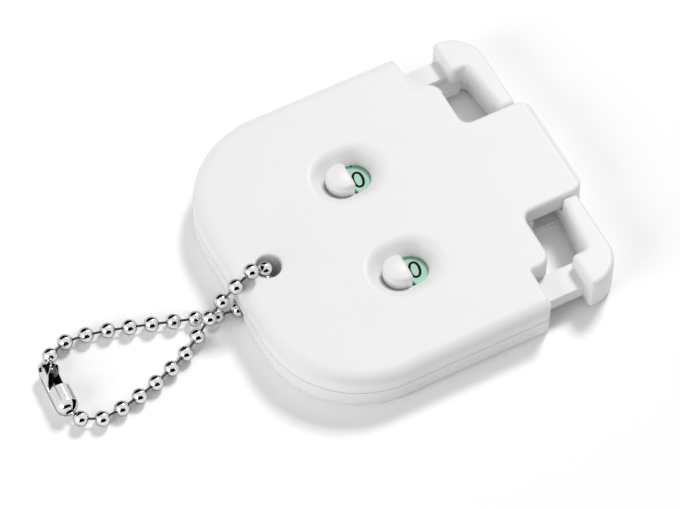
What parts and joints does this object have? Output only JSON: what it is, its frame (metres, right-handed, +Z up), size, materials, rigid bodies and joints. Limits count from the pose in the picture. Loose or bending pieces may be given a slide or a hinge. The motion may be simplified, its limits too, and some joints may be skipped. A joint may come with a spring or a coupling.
{
  "type": "golf stroke counter",
  "caption": "Flat pocket stroke counter for two players with push levers, counting dials under windows, reset buttons and a ball chain.",
  "frame": {"origin": "middle of the case's underside", "axes": "+X from the chain hole towards the push levers, +Y across the case towards player 1's side, +Z up out of the dial face"},
  "size_m": [0.0881, 0.0524, 0.0101],
  "materials": {
    "white_plastic": "satin moulded",
    "green_plastic": "matt with printed numbers",
    "steel": "plain turned",
    "spring_steel": "bright wire and strip",
    "nickel_plate": "polished plate"
  },
  "bodies": {
    "case": {"top_cover": "white_plastic", "bottom_cover": "white_plastic", "case_screws": "steel", "player_1_lever_spring": "spring_steel", "player_2_lever_spring": "spring_steel", "player_1_dial_axle": "steel", "player_2_dial_axle": "steel", "player_1_dial_spring": "spring_steel", "player_2_dial_spring": "spring_steel", "player_1_holding_pawl": "spring_steel", "player_2_holding_pawl": "spring_steel", "player_1_button_spring": "spring_steel", "player_2_button_spring": "spring_steel", "chain_beads": "nickel_plate", "chain_links": "nickel_plate", "chain_coupling": "nickel_plate"},
    "lever_1": {"player_1_lever": "white_plastic", "player_1_drive_pawl": "spring_steel"},
    "lever_2": {"player_2_lever": "white_plastic", "player_2_drive_pawl": "spring_steel"},
    "dial_1": {"player_1_dial": "green_plastic"},
    "dial_2": {"player_2_dial": "green_plastic"},
    "button_1": {"player_1_reset_button": "white_plastic"},
    "button_2": {"player_2_reset_button": "white_plastic"}
  },
  "joints": [
    {"name": "player_1_lever_press", "type": "slide", "parent": "case", "child": "lever_1", "axis": [-1, 0, 0], "range_m": [0, 0.00422], "stiffness_N_per_m": 80, "springref_m": -0.003, "deforming": ["player_1_lever_spring"]},
    {"name": "player_2_lever_press", "type": "slide", "parent": "case", "child": "lever_2", "axis": [-1, 0, 0], "range_m": [0, 0.00422], "stiffness_N_per_m": 80, "springref_m": -0.003, "deforming": ["player_2_lever_spring"]},
    {"name": "player_1_dial_turn", "type": "hinge", "parent": "case", "child": "dial_1", "pos_m": [0.0044, 0.0094, 0.004], "axis": [0, 0, 1], "range_deg": [0, 324], "deforming": ["player_1_holding_pawl", "player_1_dial_spring"]},
    {"name": "player_2_dial_turn", "type": "hinge", "parent": "case", "child": "dial_2", "pos_m": [0.0044, -0.0094, 0.004], "axis": [0, 0, -1], "range_deg": [0, 324], "deforming": ["player_2_holding_pawl", "player_2_dial_spring"]},
    {"name": "player_1_reset_press", "type": "slide", "parent": "case", "child": "button_1", "axis": [0, 0, -1], "range_m": [0, 0.0012], "stiffness_N_per_m": 100, "springref_m": -0.002, "deforming": ["player_1_button_spring", "player_1_holding_pawl"]},
    {"name": "player_2_reset_press", "type": "slide", "parent": "case", "child": "button_2", "axis": [0, 0, -1], "range_m": [0, 0.0012], "stiffness_N_per_m": 100, "springref_m": -0.002, "deforming": ["player_2_button_spring", "player_2_holding_pawl"]}
  ],
  "couplings": [
    {"joint": "player_1_dial_turn", "follows": "player_1_lever_press", "rad_per_m": 148.75},
    {"joint": "player_2_dial_turn", "follows": "player_2_lever_press", "rad_per_m": 148.75}
  ]
}
